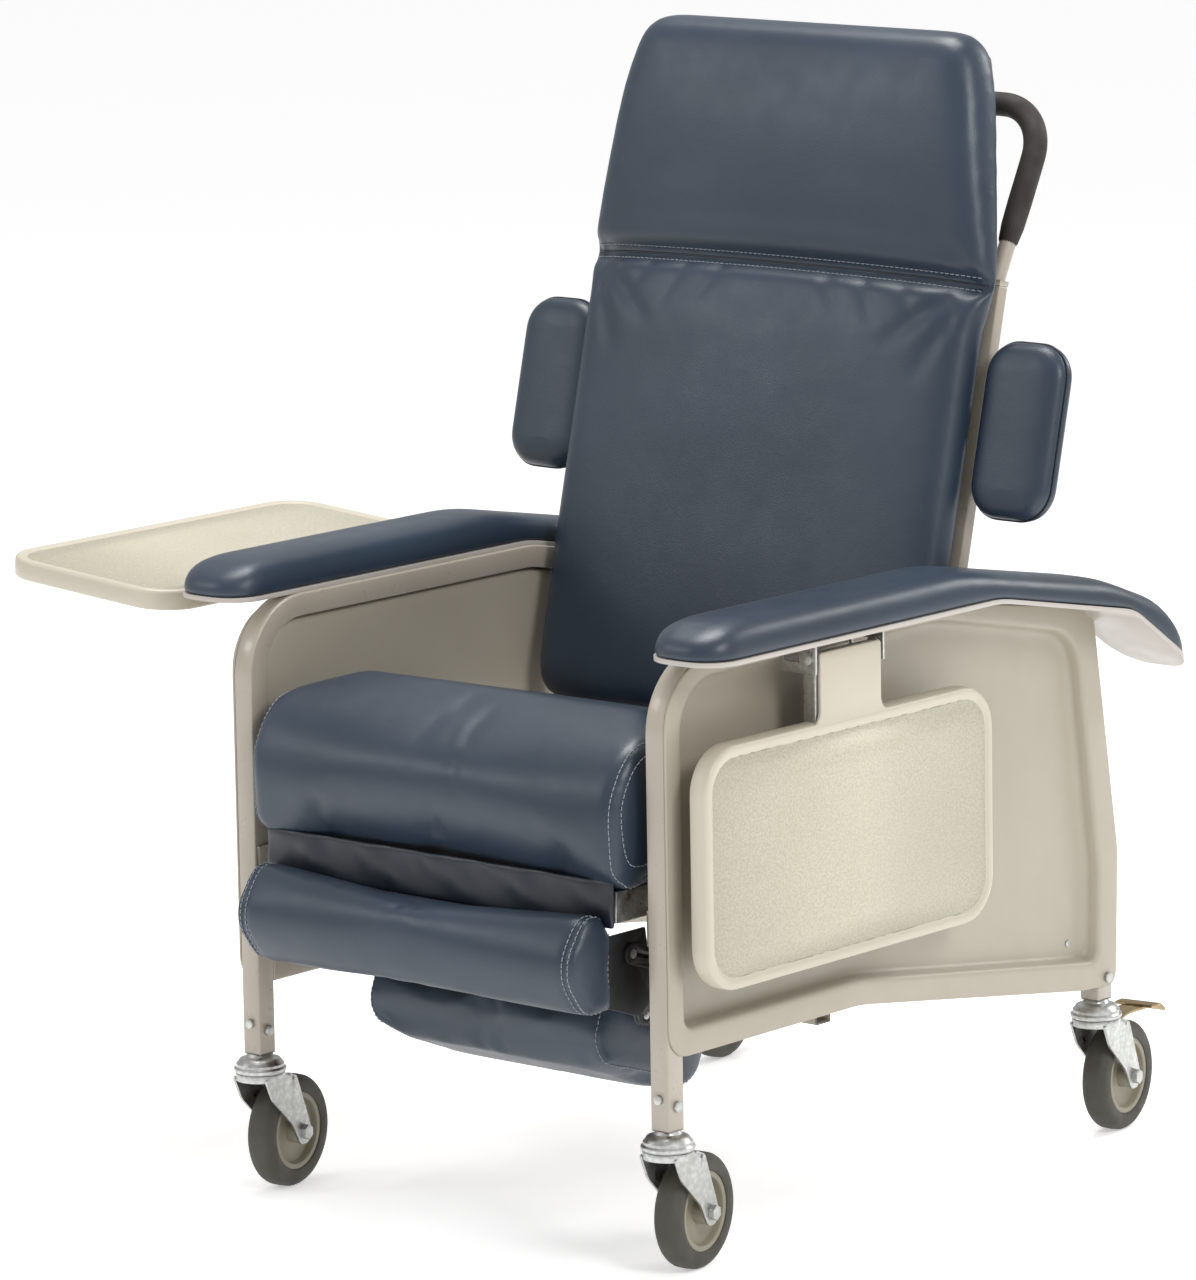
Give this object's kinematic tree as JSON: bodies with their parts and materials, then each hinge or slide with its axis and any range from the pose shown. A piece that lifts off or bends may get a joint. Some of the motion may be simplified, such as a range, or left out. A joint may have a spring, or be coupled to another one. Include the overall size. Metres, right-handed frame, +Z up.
{
  "type": "patient recliner chair",
  "caption": "Reclining patient chair on casters, with coupled back and leg rest, padded arms, head wings, push handle and fold-down side trays.",
  "frame": {"origin": "on the floor, midway between the four caster stems", "axes": "+Z up, the chair faces -Y, +X is the sitter's left"},
  "size_m": [1.0727, 0.986, 1.2805],
  "materials": {
    "frame_paint": "satin",
    "panel_plastic": "satin",
    "tray_plastic": "satin",
    "vinyl": "satin",
    "vinyl_dark": "satin",
    "grip_foam": "matte",
    "zinc": "satin",
    "black_steel": "satin",
    "board": "matte",
    "tyre": "matte",
    "hub_plastic": "satin",
    "pedal": "satin"
  },
  "bodies": {
    "root": {"side_hoop_left": "frame_paint", "side_hoop_right": "frame_paint", "lower_rails": "frame_paint", "cross_tubes": "frame_paint", "side_panel_left": "panel_plastic", "side_panel_right": "panel_plastic", "arm_base_left": "tray_plastic", "arm_base_right": "tray_plastic", "arm_pad_left": "vinyl", "arm_pad_right": "vinyl", "tray_brackets": "zinc", "glide_rails": "frame_paint", "hinge_pins": "zinc", "frame_fasteners": "zinc", "caster_stems": "zinc"},
    "back": {"back_uprights": "frame_paint", "back_cross_bars": "frame_paint", "back_board": "vinyl_dark", "back_cushion": "vinyl", "wing_pad_left": "vinyl", "wing_pad_right": "vinyl", "wing_brackets": "zinc", "push_handle": "frame_paint", "handle_grip": "grip_foam"},
    "seat": {"seat_frame": "frame_paint", "seat_board": "board", "seat_cushion": "vinyl", "glide_blocks": "black_steel", "leg_flap": "vinyl_dark", "link_brackets": "zinc", "upper_link_pins": "zinc"},
    "upper_link": {"upper_links": "black_steel", "lower_link_pins": "zinc"},
    "lower_link": {"lower_links": "black_steel", "calf_pins": "zinc"},
    "calf_rest": {"calf_gussets": "black_steel", "calf_board": "board", "calf_pad": "vinyl", "foot_pins": "zinc"},
    "foot_rest": {"foot_arms": "black_steel", "foot_board": "board", "foot_pad": "vinyl"},
    "tray_l": {"tray_left": "tray_plastic", "tray_arm_left": "zinc"},
    "tray_r": {"tray_right": "tray_plastic", "tray_arm_right": "zinc"},
    "caster_front_left": {"fork_front_left": "zinc"},
    "wheel_front_left": {"hub_front_left": "hub_plastic", "tyre_front_left": "tyre"},
    "caster_front_right": {"fork_front_right": "zinc"},
    "wheel_front_right": {"hub_front_right": "hub_plastic", "tyre_front_right": "tyre"},
    "caster_rear_left": {"fork_rear_left": "zinc"},
    "wheel_rear_left": {"hub_rear_left": "hub_plastic", "tyre_rear_left": "tyre"},
    "pedal_left": {"brake_pedal_left": "pedal"},
    "caster_rear_right": {"fork_rear_right": "zinc"},
    "wheel_rear_right": {"hub_rear_right": "hub_plastic", "tyre_rear_right": "tyre"},
    "pedal_right": {"brake_pedal_right": "pedal"}
  },
  "joints": [
    {"name": "back_recline", "type": "hinge", "parent": "root", "child": "back", "pos_m": [0, 0.118, 0.385], "axis": [-1, 0, 0], "range_deg": [0, 31]},
    {"name": "seat_glide", "type": "slide", "parent": "root", "child": "seat", "axis": [0, -1, 0], "range_m": [0, 0.041]},
    {"name": "upper_link_swing", "type": "hinge", "parent": "seat", "child": "upper_link", "pos_m": [0, -0.325, 0.402], "axis": [-1, 0, 0], "range_deg": [0, 87]},
    {"name": "lower_link_swing", "type": "hinge", "parent": "upper_link", "child": "lower_link", "pos_m": [0, -0.262, 0.312], "axis": [-1, 0, 0], "range_deg": [-69, 0]},
    {"name": "calf_rest_lift", "type": "hinge", "parent": "lower_link", "child": "calf_rest", "pos_m": [0, -0.366, 0.344], "axis": [-1, 0, 0], "range_deg": [0, 58]},
    {"name": "foot_rest_unfold", "type": "hinge", "parent": "calf_rest", "child": "foot_rest", "pos_m": [0, -0.34, 0.272], "axis": [-1, 0, 0], "range_deg": [0, 79]},
    {"name": "tray_left_lift", "type": "hinge", "parent": "root", "child": "tray_l", "pos_m": [0.347, -0.14, 0.65], "axis": [0, -1, 0], "range_deg": [0, 94.5]},
    {"name": "tray_right_drop", "type": "hinge", "parent": "root", "child": "tray_r", "pos_m": [-0.347, -0.14, 0.65], "axis": [0, -1, 0], "range_deg": [0, 94.5]},
    {"name": "swivel_front_left", "type": "hinge", "parent": "root", "child": "caster_front_left", "pos_m": [0.296, -0.381, 0.137], "axis": [0, 0, 1], "continuous": true},
    {"name": "roll_front_left", "type": "hinge", "parent": "caster_front_left", "child": "wheel_front_left", "pos_m": [0.28855, -0.33055, 0.0635], "axis": [0.9893, 0.1461, 0], "continuous": true},
    {"name": "swivel_front_right", "type": "hinge", "parent": "root", "child": "caster_front_right", "pos_m": [-0.296, -0.381, 0.137], "axis": [0, 0, 1], "continuous": true},
    {"name": "roll_front_right", "type": "hinge", "parent": "caster_front_right", "child": "wheel_front_right", "pos_m": [-0.30345, -0.33055, 0.0635], "axis": [0.9893, 0.1461, 0], "continuous": true},
    {"name": "swivel_rear_left", "type": "hinge", "parent": "root", "child": "caster_rear_left", "pos_m": [0.296, 0.381, 0.137], "axis": [0, 0, 1], "continuous": true},
    {"name": "roll_rear_left", "type": "hinge", "parent": "caster_rear_left", "child": "wheel_rear_left", "pos_m": [0.28855, 0.43145, 0.0635], "axis": [0.9893, 0.1461, 0], "continuous": true},
    {"name": "brake_left", "type": "hinge", "parent": "caster_rear_left", "child": "pedal_left", "pos_m": [0.29147, 0.41167, 0.13], "axis": [-0.9893, -0.1461, 0], "range_deg": [0, 9]},
    {"name": "swivel_rear_right", "type": "hinge", "parent": "root", "child": "caster_rear_right", "pos_m": [-0.296, 0.381, 0.137], "axis": [0, 0, 1], "continuous": true},
    {"name": "roll_rear_right", "type": "hinge", "parent": "caster_rear_right", "child": "wheel_rear_right", "pos_m": [-0.30345, 0.43145, 0.0635], "axis": [0.9893, 0.1461, 0], "continuous": true},
    {"name": "brake_right", "type": "hinge", "parent": "caster_rear_right", "child": "pedal_right", "pos_m": [-0.30053, 0.41167, 0.13], "axis": [-0.9893, -0.1461, 0], "range_deg": [0, 9]}
  ],
  "couplings": [
    {"joint": "seat_glide", "follows": "back_recline", "m_per_rad": 0.0739},
    {"joint": "upper_link_swing", "follows": "back_recline", "ratio": 2.7742},
    {"joint": "lower_link_swing", "follows": "back_recline", "ratio": -2.1935},
    {"joint": "calf_rest_lift", "follows": "back_recline", "ratio": 1.8387},
    {"joint": "foot_rest_unfold", "follows": "back_recline", "ratio": 2.5161}
  ]
}
